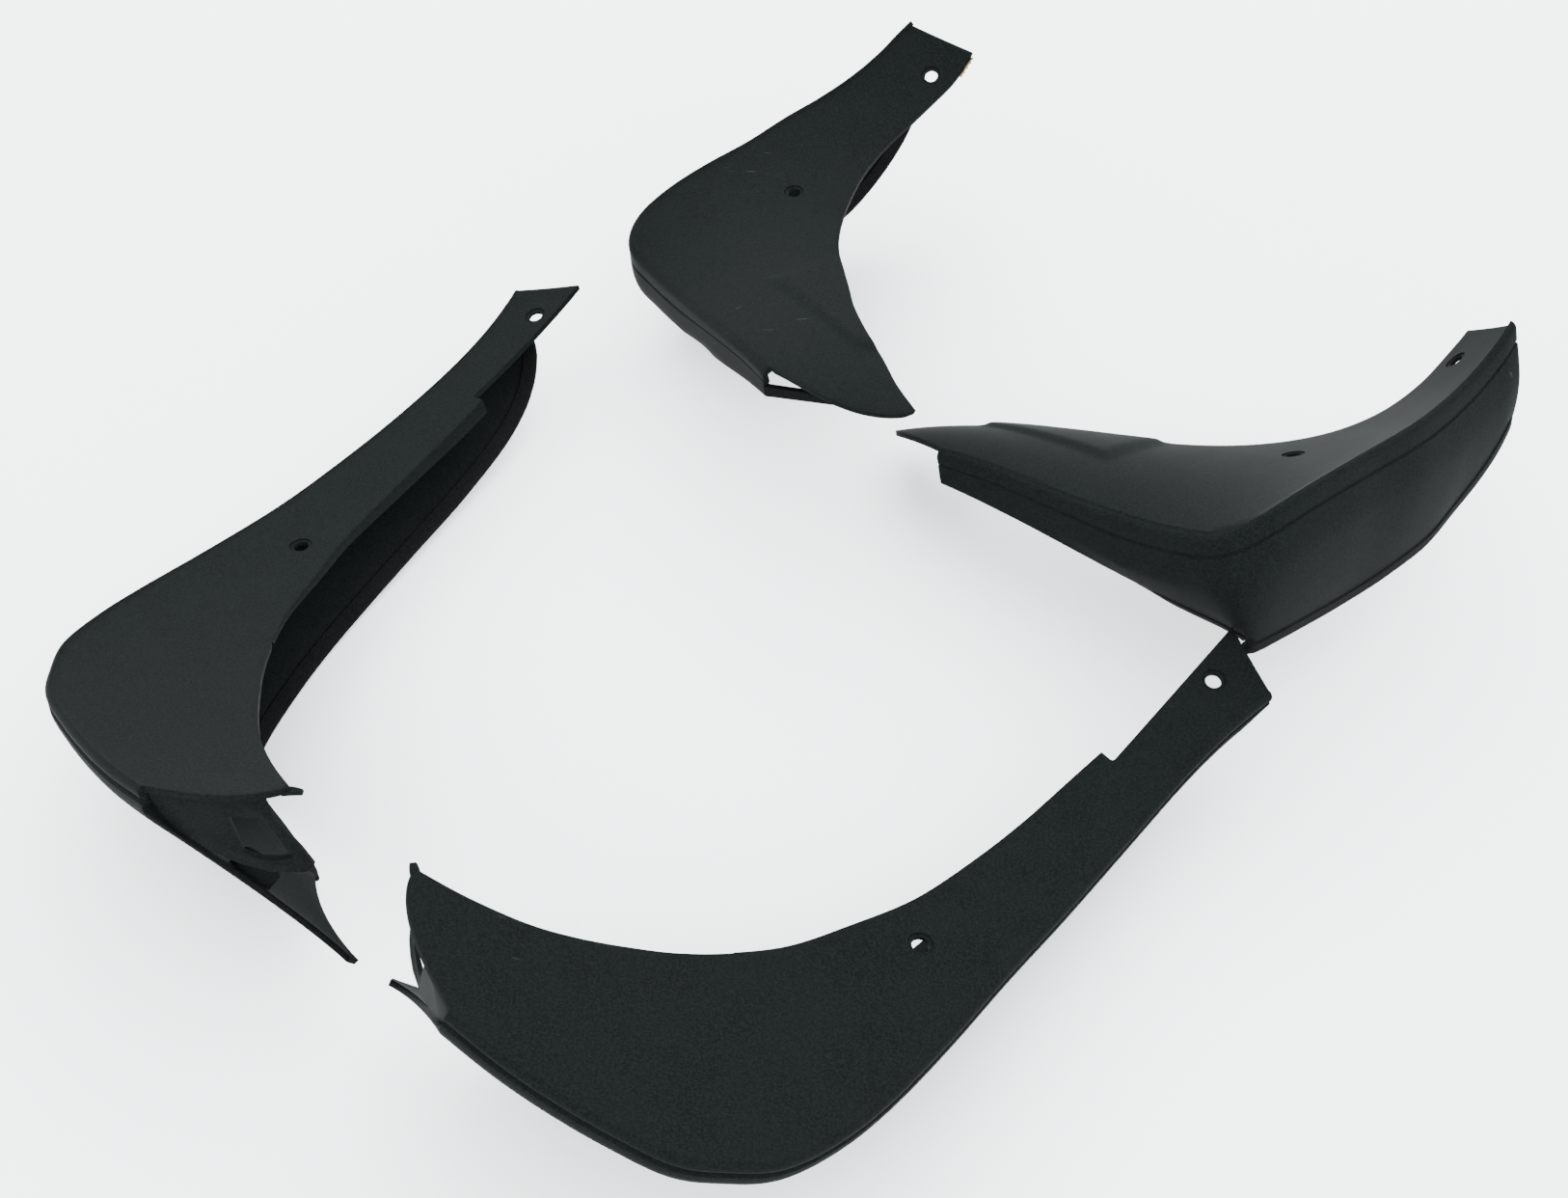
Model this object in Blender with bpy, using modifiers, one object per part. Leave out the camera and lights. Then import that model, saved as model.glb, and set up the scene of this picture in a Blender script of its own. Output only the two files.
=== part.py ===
"""A set of four moulded mud flaps for a sport utility vehicle, lying loose on a floor.

There are two designs. The arch flap is a long crescent with a slim upper leg. The sill flap is a
broader one with a raised pad. Each comes as a left and a right, so one design is built once in
its own frame and mirrored for the other hand.

A flap's own frame: origin at the middle screw hole, +X towards the upper screw hole, +Y towards
the concave edge and +Z out of the face. The set's frame: +Z up, the floor at z = 0, millimetres
turned to metres by MM, and the origin at the middle of the set's footprint.
"""

import math

import bmesh
import bpy
from mathutils import Euler, Vector

MM = 0.001

# Moulding
WALL = 3.0                # thickness of the plastic
EDGE_RADIUS = 4.0         # rounding between the face and the side wall
FACE_SPANS = 4            # spans across the face, from the concave edge to the rounded edge
ARC_STEPS = 2             # steps round the edge
STATIONS_PER_RIB = 2      # stations from one rib to the next
END_BOW_STATIONS = 4      # stations over which the lower end is rounded out
TONGUE_STATIONS = 4       # stations along the tongue

# Screw holes
HOLE_RADIUS = 4.0
SEAT_RADIUS = 6.0         # shallow seat round each hole
SEAT_DEPTH = 0.8
HOLE_SIDES = 24

# Edge seal: a soft rubber bead along the skin's free edge
SEAL_GAP = 2.5            # clearance between the seal and the plastic
SEAL_WIDTH = 4.4
SEAL_DROP = 3.6

# Spring clip gripping the concave edge at the sill flap's tip
CLIP_SHEET = 0.7
CLIP_START = 0.12                  # where it starts and ends, as shares of the first two ribs
CLIP_END = 0.78
CLIP_REACH = 3.0                   # how far it grips over the face
CLIP_BITE = 1.5                    # how much shorter the sheet is between two teeth
CLIP_TEETH = 4
CLIP_GAP = 0.5

# End web: a plate under the arch flap's lower end
WEB_THICKNESS = 2.5
WEB_SET_IN = 4.0                   # from the face's end edge to the middle of the plate
WEB_SPAN = (16.0, 50.0)            # from the outer corner along the end edge
WEB_HEIGHTS = (22.0, 42.0)
WEB_GAP = 0.6                      # clearance under the face
WEB_STEPS = 4

# Mounting tab: a curved flange inside the tongue's root
TAB_THICKNESS = 2.2
TAB_WIDTH = 20.0
TAB_REACH = 12.0
TAB_RISE = 3.0
TAB_SHARE = 0.3                    # how far along the tongue it stands
TAB_GAP = 0.5
TAB_STEPS = 5

# Ribs of the arch flap, from the leg's tip round the outer corner to the lower end: the outer
# edge (x, y), the concave edge (x, y), the skin's depth below the face and its inset there.
ARCH_RIBS = [
    ((221, -26), (236, 13), 9, 2),
    ((212, -25), (215, 12), 20, 9),
    ((190, -24), (184, 12), 34, 18),
    ((160, -25), (158, 11), 42, 24),
    ((113, -29), (120, 11), 47, 29),
    ((66, -33), (83, 11), 51, 33),
    ((21, -36), (48, 13), 57, 37),
    ((-24, -40), (15, 17), 66, 44),
    ((-66, -42), (-16, 26), 77, 52),
    ((-98, -40), (-46, 36), 85, 58),
    ((-125, -33), (-69, 49), 90, 62),
    ((-144, -19), (-88, 63), 93, 63),
    ((-158, -4), (-104, 78), 95, 63),
    ((-168, 19), (-120, 95), 97, 62),
    ((-177, 45), (-133, 112), 98, 61),
    ((-184, 71), (-146, 135), 99, 58),
    ((-189, 98), (-156, 157), 100, 53),
]
ARCH_DISH = (-0.0392, -0.147, 0.00069, 0.00015, 0.00078, 0, 0, 0, 0)
ARCH_TOP_HOLE = (208, 0)
ARCH_END_BOW = 7.0                 # how far the lower end bows past a straight line
ARCH_LIP = (6, 20, 9.0)            # first and last station of the return lip, and its depth
LIP_END_DEPTH = 1.5
ARCH_NOTCH = (140, 4.2)            # root of the notch where the leg narrows
ARCH_LEG_END = (245, 13.8)
ARCH_TONGUE = (-163, 153, -88)     # tip of the tongue that runs on from the skin
TONGUE_TIP_WIDTH = 6.0
TONGUE_TAPER = 1.6                 # how quickly the tongue narrows
SKIN_BULGE = 0.04                  # outward bow of the skin, as a share of its height
SEAL_RUN = {"arch": (2, 32), "sill": (0, 26)}   # first and last station with an edge seal
ARCH_CREASE = 16.0                 # depth of the upright band under the face
ARCH_FLARE = 1.5                   # how far the band leans out before the skin turns in

SILL_RIBS = [
    ((133, -23), (141, 21), 52, 5),
    ((123, -26), (124, 21), 57, 7),
    ((109, -29), (106, 18), 63, 10),
    ((89, -34), (89, 16), 69, 14),
    ((67, -40), (69, 15), 75, 17),
    ((41, -47), (47, 18), 77, 20),
    ((11, -52), (27, 25), 79, 22),
    ((-16, -58), (6, 36), 79, 23),
    ((-45, -63), (-14, 50), 77, 23),
    ((-68, -64), (-32, 67), 74, 23),
    ((-83, -59), (-46, 84), 68, 22),
    ((-92, -48), (-59, 100), 61, 22),
    ((-98, -27), (-72, 116), 53, 20),
    ((-108, 8), (-85, 137), 41, 12),
    ((-121, 49), (-94, 156), 27, 1),
    ((-134, 89), (-104, 175), 22, 0),
    ((-144, 116), (-109, 192), 18, 0),
]
SILL_DISH = (-0.02003, -0.05116, 0.00048, -0.00265, 0.00106, 1.068e-05, 1.84e-06, -6.1e-07, -1.027e-05)
SILL_TOP_HOLE = (118, 7)
SILL_END_BOW = 19.0
SILL_CREASE = 26.0
SILL_FLARE = 0.5
SILL_TONGUE = (-94, 168, -12)

# Where each flap lies: its design, its hand (-1 is the mirror image), the middle screw hole
# over the floor (x, y), and its turn about X, Y and Z in degrees.
PLACES = {
    "arch_left": ("arch", -1, (-252, 684), (-16.3, 4.9, 57.5)),
    "arch_right": ("arch", 1, (60, 444), (14.1, 5.0, 45.8)),
    "sill_left": ("sill", -1, (6, 943), (-4.0, -3.4, 46.5)),
    "sill_right": ("sill", 1, (263, 713), (-31.7, 4.5, 27.0)),
}
SET_CENTRE = (21.0, 690.4)             # middle of the set's footprint

PLASTIC = ("moulded_plastic", (0.030, 0.033, 0.032), 0.62, 0.0)
RUBBER = ("edge_rubber", (0.016, 0.017, 0.017), 0.78, 0.0)
SPRING_STEEL = ("spring_steel", (0.20, 0.17, 0.13), 0.45, 0.9)


class Design:
    """One flap design: its ribs, its dished face and the shape of its skin."""

    def __init__(self, ribs, dish, top_hole, end_bow, crease, flare, tongue):
        self.dish = dish
        self.holes = ((0, 0), top_hole)
        self.end_bow = end_bow
        self.crease = crease
        self.flare = flare
        self.tongue = Vector(tongue)
        self.stations = blend_ribs(ribs, STATIONS_PER_RIB)

    def height(self, x, y):
        """Height of the dished face at a point of its outline's plane."""
        terms = (x, y, x * x, x * y, y * y, x ** 3, x * x * y, x * y * y, y ** 3)
        return sum(share * term for share, term in zip(self.dish, terms))

    def on_face(self, flat, drop=0.0):
        """The point of the face over a flat point, or below it by drop."""
        return Vector((flat.x, flat.y, self.height(flat.x, flat.y) - drop))

    def normal(self, x, y):
        """The face's outward normal at a point."""
        slope_x = self.height(x + 1, y) - self.height(x - 1, y)
        slope_y = self.height(x, y + 1) - self.height(x, y - 1)
        return Vector((-slope_x / 2, -slope_y / 2, 1)).normalized()

    def outward(self, index):
        """Flat direction square to the outer edge, away from the concave one."""
        last = len(self.stations) - 1
        before = self.stations[max(index - 1, 0)][0]
        after = self.stations[min(index + 1, last)][0]
        along = (after - before).normalized()
        square = Vector((along.y, -along.x))
        inner = self.stations[index][1]
        if square.dot(self.stations[index][0] - inner) < 0:
            square = -square
        return square

    def bow(self, index, share):
        """How far the lower end is rounded out, by share of the way to the outer edge."""
        fade = max(0, 1 - (len(self.stations) - 1 - index) / END_BOW_STATIONS)
        outer, inner = self.stations[-1][:2]
        across = (outer - inner).normalized()
        return Vector((across.y, -across.x)) * self.end_bow * fade * math.sin(math.pi * share ** 0.7)

    def section(self, index):
        """Points from the concave edge, over the rounded edge and down the skin."""
        outer, inner, depth, inset = self.stations[index]
        square = self.outward(index)
        shoulder = outer - square * EDGE_RADIUS
        points = []
        for span in range(FACE_SPANS + 1):
            share = span / FACE_SPANS
            points.append(self.on_face(inner.lerp(shoulder, share) + self.bow(index, share)))
        top = self.height(outer.x, outer.y)
        for step in range(1, ARC_STEPS + 1):
            angle = math.radians(90 * step / ARC_STEPS)
            flat = shoulder + square * EDGE_RADIUS * math.sin(angle)
            points.append(flat.to_3d() + Vector((0, 0, top - EDGE_RADIUS * (1 - math.cos(angle)))))
        crease_depth = min(self.crease, EDGE_RADIUS + 0.6 * (depth - EDGE_RADIUS))
        flat = outer + square * self.flare * crease_depth / self.crease
        crease = Vector((flat.x, flat.y, top - crease_depth))
        flat = outer - square * inset
        free_edge = Vector((flat.x, flat.y, top - depth))
        bulge = square.to_3d() * SKIN_BULGE * (free_edge - crease).length
        points += [crease, (crease + free_edge) / 2 + bulge, free_edge]
        return points

    def tongue_section(self, share):
        """Points of the skin past the lower end, where it narrows to the tongue's tip."""
        root = self.section(len(self.stations) - 1)[-3:]
        middle = (root[0] + root[2]) / 2
        width = (root[2] - root[0]).length
        keep = (1 - share) ** TONGUE_TAPER
        centre = middle.lerp(self.tongue, share)
        scale = keep + (1 - keep) * TONGUE_TIP_WIDTH / width
        return [centre + (point - middle) * scale for point in root]

    def free_edge(self):
        """The skin's free edge, station by station, with the skin's downward direction there."""
        edge = []
        for index in range(len(self.stations)):
            points = self.section(index)
            edge.append((points[-1], (points[-1] - points[-2]).normalized()))
        return edge


def catmull_rom(a, b, c, d, t):
    """The value at t on the smooth curve that runs from b to c."""
    return 0.5 * (2 * b + (c - a) * t + (2 * a - 5 * b + 4 * c - d) * t * t
                  + (3 * b - a - 3 * c + d) * t ** 3)


def blend_ribs(ribs, steps):
    """Stations on smooth curves through the ribs, each (outer, inner, depth, inset)."""
    rows = [(*outer, *inner, depth, inset) for outer, inner, depth, inset in ribs]
    stations = []
    for index in range(len(rows) - 1):
        before = rows[max(index - 1, 0)]
        start = rows[index]
        end = rows[index + 1]
        after = rows[min(index + 2, len(rows) - 1)]
        for step in range(steps):
            share = step / steps
            stations.append([catmull_rom(*four, share) for four in zip(before, start, end, after)])
    stations.append(list(rows[-1]))
    return [(Vector(s[0:2]), Vector(s[2:4]), s[4], s[5]) for s in stations]


def clear_scene():
    """Remove the start-up objects."""
    for old in list(bpy.data.objects):
        bpy.data.objects.remove(old, do_unlink=True)


def make_collection(name):
    """A new collection in the scene."""
    collection = bpy.data.collections.new(name)
    bpy.context.scene.collection.children.link(collection)
    return collection


def make_material(name, colour, roughness, metallic):
    """A plain Principled material."""
    material = bpy.data.materials.new(name)
    material.use_nodes = True
    shader = material.node_tree.nodes["Principled BSDF"]
    shader.inputs["Base Color"].default_value = (*colour, 1)
    shader.inputs["Roughness"].default_value = roughness
    shader.inputs["Metallic"].default_value = metallic
    material.diffuse_color = (*colour, 1)
    return material


def make_object(name, vertices, faces, hand, material, collection, parent):
    """A mesh object from points in a flap's own frame, mirrored when hand is -1."""
    mesh = bpy.data.meshes.new(name)
    placed = [(v[0] * MM, v[1] * MM * hand, v[2] * MM) for v in vertices]
    mesh.from_pydata(placed, [], faces)
    work = bmesh.new()
    work.from_mesh(mesh)
    if hand < 0:
        bmesh.ops.reverse_faces(work, faces=work.faces)
    work.to_mesh(mesh)
    work.free()
    mesh.materials.append(make_material(name + "_" + material[0], *material[1:]))
    made = bpy.data.objects.new(name, mesh)
    collection.objects.link(made)
    made.parent = parent
    return made


def add_solidify(made):
    """Give an open surface the plastic's wall, under its outer side."""
    solidify = made.modifiers.new("wall", "SOLIDIFY")
    solidify.thickness = WALL * MM
    solidify.offset = -1
    solidify.use_even_offset = True
    solidify.thickness_clamp = 0


def cut(made, cutter):
    """Cut one closed mesh from another."""
    boolean = made.modifiers.new("cut_" + cutter.name, "BOOLEAN")
    boolean.operation = "DIFFERENCE"
    boolean.solver = "EXACT"
    boolean.object = cutter


def hide_cutter(cutter):
    """Mark an object as a guide that isn't part of the model."""
    cutter.hide_render = True
    cutter.display_type = "WIRE"


def build_shell(name, design, hand, lip, collection, parent):
    """The flap's plastic shell: face, rounded edge, skin, tongue and return lip."""
    sections = [design.section(index) for index in range(len(design.stations))]
    columns = len(sections[0])
    vertices = [point for section in sections for point in section]
    faces = []
    for row in range(len(sections) - 1):
        for column in range(columns - 1):
            a = row * columns + column
            faces.append((a, a + columns, a + columns + 1, a + 1))
    # The tongue carries on from the skin's three lowest columns.
    previous = [(len(sections) - 1) * columns + columns - 3 + k for k in range(3)]
    for station in range(1, TONGUE_STATIONS + 1):
        start = len(vertices)
        vertices += design.tongue_section(station / TONGUE_STATIONS)
        current = [start, start + 1, start + 2]
        for k in range(2):
            faces.append((previous[k], current[k], current[k + 1], previous[k + 1]))
        previous = current
    # The return lip hangs from the concave edge.
    if lip:
        first, last, depth = lip
        below = {}
        for row in range(first, last + 1):
            share = (row - first) / (last - first)
            drop = depth * (1 - share) + LIP_END_DEPTH * share
            below[row] = len(vertices)
            vertices.append(sections[row][0] - Vector((0, 0, drop)))
        for row in range(first, last):
            faces.append((below[row], below[row + 1], (row + 1) * columns, row * columns))
    shell = make_object(name, vertices, faces, hand, PLASTIC, collection, parent)
    add_solidify(shell)
    return shell


def build_hole_cutters(name, design, hand, collection, parent):
    """A through drill and a shallow seat at each screw hole, square to the face."""
    cutters = []
    for number, (x, y) in enumerate(design.holes):
        normal = design.normal(x, y)
        normal.y *= hand
        at = Vector((x, y * hand, design.height(x, y))) * MM
        for kind, radius, reach in (("drill", HOLE_RADIUS, 12), ("seat", SEAT_RADIUS, 2)):
            low = -reach if kind == "drill" else -SEAT_DEPTH
            high = reach
            work = bmesh.new()
            bmesh.ops.create_cone(work, cap_ends=True, segments=HOLE_SIDES, radius1=radius * MM,
                                  radius2=radius * MM, depth=(high - low) * MM)
            bmesh.ops.translate(work, verts=work.verts, vec=(0, 0, (high + low) / 2 * MM))
            mesh = bpy.data.meshes.new(f"{name}_{kind}_{number}")
            work.to_mesh(mesh)
            work.free()
            cutter = bpy.data.objects.new(mesh.name, mesh)
            cutter.rotation_euler = normal.to_track_quat("Z", "Y").to_euler()
            cutter.location = at
            collection.objects.link(cutter)
            cutter.parent = parent
            hide_cutter(cutter)
            cutters.append(cutter)
    return cutters


def build_prism(name, outline, low, high, hand, material, collection, parent):
    """An upright prism over a flat outline, as a closed mesh."""
    count = len(outline)
    vertices = [(x, y, low) for x, y in outline] + [(x, y, high) for x, y in outline]
    faces = [tuple(range(count - 1, -1, -1)), tuple(range(count, 2 * count))]
    for k in range(count):
        after = (k + 1) % count
        faces.append((k, after, count + after, count + k))
    return make_object(name, vertices, faces, hand, material, collection, parent)


def build_notch_cutter(name, hand, collection, parent):
    """The sliver that narrows the arch flap's leg, from the notch to the tip."""
    root_x, root_y = ARCH_NOTCH
    end_x, end_y = ARCH_LEG_END
    outline = [(root_x, root_y), (end_x, end_y), (end_x, end_y + 20), (root_x - 2, root_y + 20)]
    cutter = build_prism(name, outline, -40, 80, hand, PLASTIC, collection, parent)
    hide_cutter(cutter)
    return cutter


def build_seal(name, design, hand, first, last, collection, parent):
    """A rubber bead on the skin's free edge, from one station to another."""
    edge = design.free_edge()
    vertices = []
    for row in range(first, last + 1):
        point, down = edge[row]
        ahead = edge[min(row + 1, len(edge) - 1)][0]
        behind = edge[max(row - 1, 0)][0]
        along = (ahead - behind).normalized()
        out = along.cross(down).normalized()
        if out.dot(design.outward(row).to_3d()) < 0:
            out = -out
        down = (down - along * down.dot(along)).normalized()
        core = point - out * WALL / 2
        half = SEAL_WIDTH / 2
        loop = [(half, SEAL_GAP), (half, SEAL_GAP + SEAL_DROP * 0.6), (half * 0.5, SEAL_GAP + SEAL_DROP),
                (-half * 0.5, SEAL_GAP + SEAL_DROP), (-half, SEAL_GAP + SEAL_DROP * 0.6),
                (-half, SEAL_GAP)]
        vertices += [core + out * side + down * fall for side, fall in loop]
    return sweep(name, vertices, 6, hand, RUBBER, collection, parent)


def build_end_web(name, design, hand, collection, parent):
    """The plate that hangs under the arch flap's lower end, deeper towards the concave edge."""
    outer, inner = design.stations[-1][:2]
    across = (inner - outer).normalized()
    inward = Vector((across.y, -across.x))
    if inward.dot(-outer) < 0:
        inward = -inward
    vertices = []
    for step in range(WEB_STEPS + 1):
        share = step / WEB_STEPS
        run = WEB_SPAN[0] + (WEB_SPAN[1] - WEB_SPAN[0]) * share
        height = WEB_HEIGHTS[0] + (WEB_HEIGHTS[1] - WEB_HEIGHTS[0]) * share
        middle = outer + across * run + inward * WEB_SET_IN
        near = middle - inward * WEB_THICKNESS / 2
        far = middle + inward * WEB_THICKNESS / 2
        below = min(design.height(*near), design.height(*far)) - WALL - WEB_GAP
        vertices += [(*near, below), (*far, below), (*far, below - height), (*near, below - height)]
    return sweep(name, vertices, 4, hand, PLASTIC, collection, parent)


def build_end_tab(name, design, hand, collection, parent):
    """The curved flange that stands on the inner side of the tongue's root."""
    low, high = design.tongue_section(TAB_SHARE), design.tongue_section(TAB_SHARE + 0.1)
    along = (high[1] - low[1]).normalized()
    down = (low[2] - low[0]).normalized()
    inward = along.cross(down).normalized()
    if inward.dot(Vector((1, 0, 0))) < 0:
        inward = -inward
    root = low[1] + inward * (WALL + TAB_GAP)
    vertices = []
    for step in range(TAB_STEPS + 1):
        share = step / TAB_STEPS
        lift = down * (TAB_RISE * 4 * share * (1 - share))
        start = root + along * TAB_WIDTH * (share - 0.5) - lift
        for out, side in ((0, -1), (TAB_REACH, -1), (TAB_REACH, 1), (0, 1)):
            vertices.append(start + inward * out + down * (side * TAB_THICKNESS / 2))
    return sweep(name, vertices, 4, hand, PLASTIC, collection, parent)


def build_clip(name, design, hand, collection, parent):
    """The toothed strip of spring steel that grips the concave edge at the sill flap's tip."""
    first = design.stations[0][1]
    second = design.stations[STATIONS_PER_RIB][1]
    along = (second - first).normalized()
    out = Vector((along.y, -along.x))
    if out.y < 0:
        out = -out
    up = design.normal(*first.lerp(second, 0.5))
    out = out.to_3d()
    out = (out - up * out.dot(up)).normalized()
    over = CLIP_GAP + CLIP_SHEET
    under = WALL + CLIP_GAP
    vertices = []
    for step in range(2 * CLIP_TEETH + 1):
        share = CLIP_START + (CLIP_END - CLIP_START) * step / (2 * CLIP_TEETH)
        edge = design.on_face(first.lerp(second, share))
        reach = CLIP_REACH - CLIP_BITE * (step % 2 == 0)
        loop = [(-reach, over), (over, over), (over, -under - CLIP_SHEET),
                (-CLIP_REACH, -under - CLIP_SHEET), (-CLIP_REACH, -under), (CLIP_GAP, -under),
                (CLIP_GAP, CLIP_GAP), (-reach, CLIP_GAP)]
        vertices += [edge + out * side + up * rise for side, rise in loop]
    return sweep(name, vertices, len(loop), hand, SPRING_STEEL, collection, parent)


def sweep(name, vertices, count, hand, material, collection, parent):
    """A closed solid through equal loops of points, capped at both ends."""
    loops = len(vertices) // count
    faces = []
    for loop in range(loops - 1):
        for k in range(count):
            a = loop * count + k
            b = loop * count + (k + 1) % count
            faces.append((a, a + count, b + count, b))
    faces.append(tuple(range(count)))
    faces.append(tuple(range(loops * count - 1, (loops - 1) * count - 1, -1)))
    made = make_object(name, vertices, faces, hand, material, collection, parent)
    face_out(made)
    return made


def face_out(made):
    """Turn a closed mesh's faces so that they point out of it."""
    work = bmesh.new()
    work.from_mesh(made.data)
    bmesh.ops.recalc_face_normals(work, faces=work.faces)
    work.to_mesh(made.data)
    work.free()


def rest_on_floor(holder, pieces, location, turn):
    """Turn a flap as it lies and lower it until its lowest point meets the floor."""
    holder.rotation_euler = Euler([math.radians(angle) for angle in turn])
    turned = holder.rotation_euler.to_matrix()
    graph = bpy.context.evaluated_depsgraph_get()
    lowest = math.inf
    for piece in pieces:
        mesh = piece.evaluated_get(graph).to_mesh()
        lowest = min(lowest, min((turned @ vertex.co).z for vertex in mesh.vertices))
    x, y = location
    holder.location = ((x - SET_CENTRE[0]) * MM, (y - SET_CENTRE[1]) * MM, -lowest)


def build_flap(name, place, parts, cutters):
    """One flap with all its pieces."""
    kind, hand, location, turn = place
    holder = bpy.data.objects.new(name, None)
    bpy.context.scene.collection.objects.link(holder)
    design = DESIGNS[kind]
    lip = ARCH_LIP if kind == "arch" else None
    shell = build_shell(name + "_shell", design, hand, lip, parts, holder)
    for cutter in build_hole_cutters(name, design, hand, cutters, holder):
        cut(shell, cutter)
    if kind == "arch":
        cut(shell, build_notch_cutter(name + "_notch", hand, cutters, holder))
    first, last = SEAL_RUN[kind]
    seal = build_seal(name + "_edge_seal", design, hand, first, last, parts, holder)
    if kind == "arch":
        web = build_end_web(name + "_end_web", design, hand, parts, holder)
        tab = build_end_tab(name + "_end_tab", design, hand, parts, holder)
        pieces = [shell, seal, web, tab]
    else:
        clip = build_clip(name + "_spring_clip", design, hand, parts, holder)
        pieces = [shell, seal, clip]
    bpy.context.view_layer.update()
    rest_on_floor(holder, pieces, location, turn)


DESIGNS = {
    "arch": Design(ARCH_RIBS, ARCH_DISH, ARCH_TOP_HOLE, ARCH_END_BOW, ARCH_CREASE, ARCH_FLARE,
                   ARCH_TONGUE),
    "sill": Design(SILL_RIBS, SILL_DISH, SILL_TOP_HOLE, SILL_END_BOW, SILL_CREASE, SILL_FLARE,
                   SILL_TONGUE),
}


def main():
    """Build the whole set."""
    clear_scene()
    parts = make_collection("mud_flap_set")
    cutters = make_collection("cutters")
    for name, place in PLACES.items():
        build_flap(name, place, parts, cutters)
    bpy.context.view_layer.update()


main()
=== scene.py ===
"""Four moulded mud flaps lying on a pale floor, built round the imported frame.

Each flap is lofted in its own frame: origin at the middle screw hole, +X to the upper screw hole,
+Y to the concave edge and +Z out of the face, in millimetres. Then it is turned and placed where
the frame has it, in metres.
"""

import math

import bmesh
import bpy
from mathutils import Euler, Matrix, Vector


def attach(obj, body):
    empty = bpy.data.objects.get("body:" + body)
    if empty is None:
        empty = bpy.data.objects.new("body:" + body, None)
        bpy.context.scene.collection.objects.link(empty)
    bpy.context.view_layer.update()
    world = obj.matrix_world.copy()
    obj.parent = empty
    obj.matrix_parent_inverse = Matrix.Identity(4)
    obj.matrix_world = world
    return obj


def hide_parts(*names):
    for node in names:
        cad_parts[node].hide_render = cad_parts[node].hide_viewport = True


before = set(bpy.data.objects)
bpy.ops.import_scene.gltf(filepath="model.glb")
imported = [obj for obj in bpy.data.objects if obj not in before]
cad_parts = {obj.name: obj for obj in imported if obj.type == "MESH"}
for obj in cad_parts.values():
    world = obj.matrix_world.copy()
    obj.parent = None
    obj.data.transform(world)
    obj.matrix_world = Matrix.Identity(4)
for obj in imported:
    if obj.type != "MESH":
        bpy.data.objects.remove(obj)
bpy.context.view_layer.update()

MM = 0.001
WALL = 3.0
EDGE_RADIUS = 4.0
FACE_SPANS = 26
ARC_STEPS = 7
SKIN_SPANS = 8
STATIONS_PER_RIB = 6
HOLE_RADIUS = 4.0
SEAT_RADIUS = 6.0
SEAT_DEPTH = 0.8
HOLE_SIDES = 48

# Where each flap lies: design, hand, location in metres and turn in radians.
FLAPS = {
    "arch_left": ("arch", -1, (-0.2730, -0.0064, 0.05531), (-0.28449, 0.08552, 1.00356)),
    "arch_right": ("arch", 1, (0.0390, -0.2464, 0.05710), (0.24609, 0.08727, 0.79936)),
    "sill_left": ("sill", -1, (-0.0150, 0.2526, 0.08664), (-0.06981, -0.05934, 0.81158)),
    "sill_right": ("sill", 1, (0.2420, 0.0226, 0.09339), (-0.55327, 0.07854, 0.47124)),
}

# Ribs: the outer edge, the concave edge, the skin's depth and its inset at its free edge.
ARCH_RIBS = [
    ((221, -26), (236, 13), 9, 2),
    ((212, -25), (215, 12), 20, 9),
    ((190, -24), (184, 12), 34, 18),
    ((160, -25), (158, 11), 42, 24),
    ((113, -29), (120, 11), 47, 29),
    ((66, -33), (83, 11), 51, 33),
    ((21, -36), (48, 13), 57, 37),
    ((-24, -40), (15, 17), 66, 44),
    ((-66, -42), (-16, 26), 77, 52),
    ((-98, -40), (-46, 36), 85, 58),
    ((-125, -33), (-69, 49), 90, 62),
    ((-144, -19), (-88, 63), 93, 63),
    ((-158, -4), (-104, 78), 95, 63),
    ((-168, 19), (-120, 95), 97, 62),
    ((-177, 45), (-133, 112), 98, 61),
    ((-184, 71), (-146, 135), 99, 58),
    ((-189, 98), (-156, 157), 100, 53),
]
ARCH_DISH = (-0.0392, -0.147, 0.00069, 0.00015, 0.00078, 0, 0, 0, 0)
SILL_RIBS = [
    ((133, -23), (141, 21), 52, 5),
    ((123, -26), (124, 21), 57, 7),
    ((109, -29), (106, 18), 63, 10),
    ((89, -34), (89, 16), 69, 14),
    ((67, -40), (69, 15), 75, 17),
    ((41, -47), (47, 18), 77, 20),
    ((11, -52), (27, 25), 79, 22),
    ((-16, -58), (6, 36), 79, 23),
    ((-45, -63), (-14, 50), 77, 23),
    ((-68, -64), (-32, 67), 74, 23),
    ((-83, -59), (-46, 84), 68, 22),
    ((-92, -48), (-59, 100), 61, 22),
    ((-98, -27), (-72, 116), 53, 20),
    ((-108, 8), (-85, 137), 41, 12),
    ((-121, 49), (-94, 156), 27, 1),
    ((-134, 89), (-104, 175), 22, 0),
    ((-144, 116), (-109, 192), 18, 0),
]
SILL_DISH = (-0.02003, -0.05116, 0.00048, -0.00265, 0.00106, 1.068e-05, 1.84e-06, -6.1e-07, -1.027e-05)

TONGUE_STATIONS = 16
SEAL_RIBS = {"arch": (1, 16), "sill": (0, 13)}
SEAL_WIDTH = 4.8
SEAL_DROP = 6.1
SEAL_GRIP = 2.2

# Return lip, notch and lug of the arch flap
LIP_FIRST_RIB = 3
LIP_LAST_RIB = 10
LIP_DEPTH = 9.0
LIP_END_DEPTH = 1.5
NOTCH_ROOT = (140.0, 4.2)
NOTCH_FILLET = 1.6
LEG_END = (245.0, 13.8)
LUG_LENGTH = 4.5
LUG_WIDTH = 4.5
LUG_THICKNESS = 2.4
LUG_DROOP = 2.0

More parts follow.
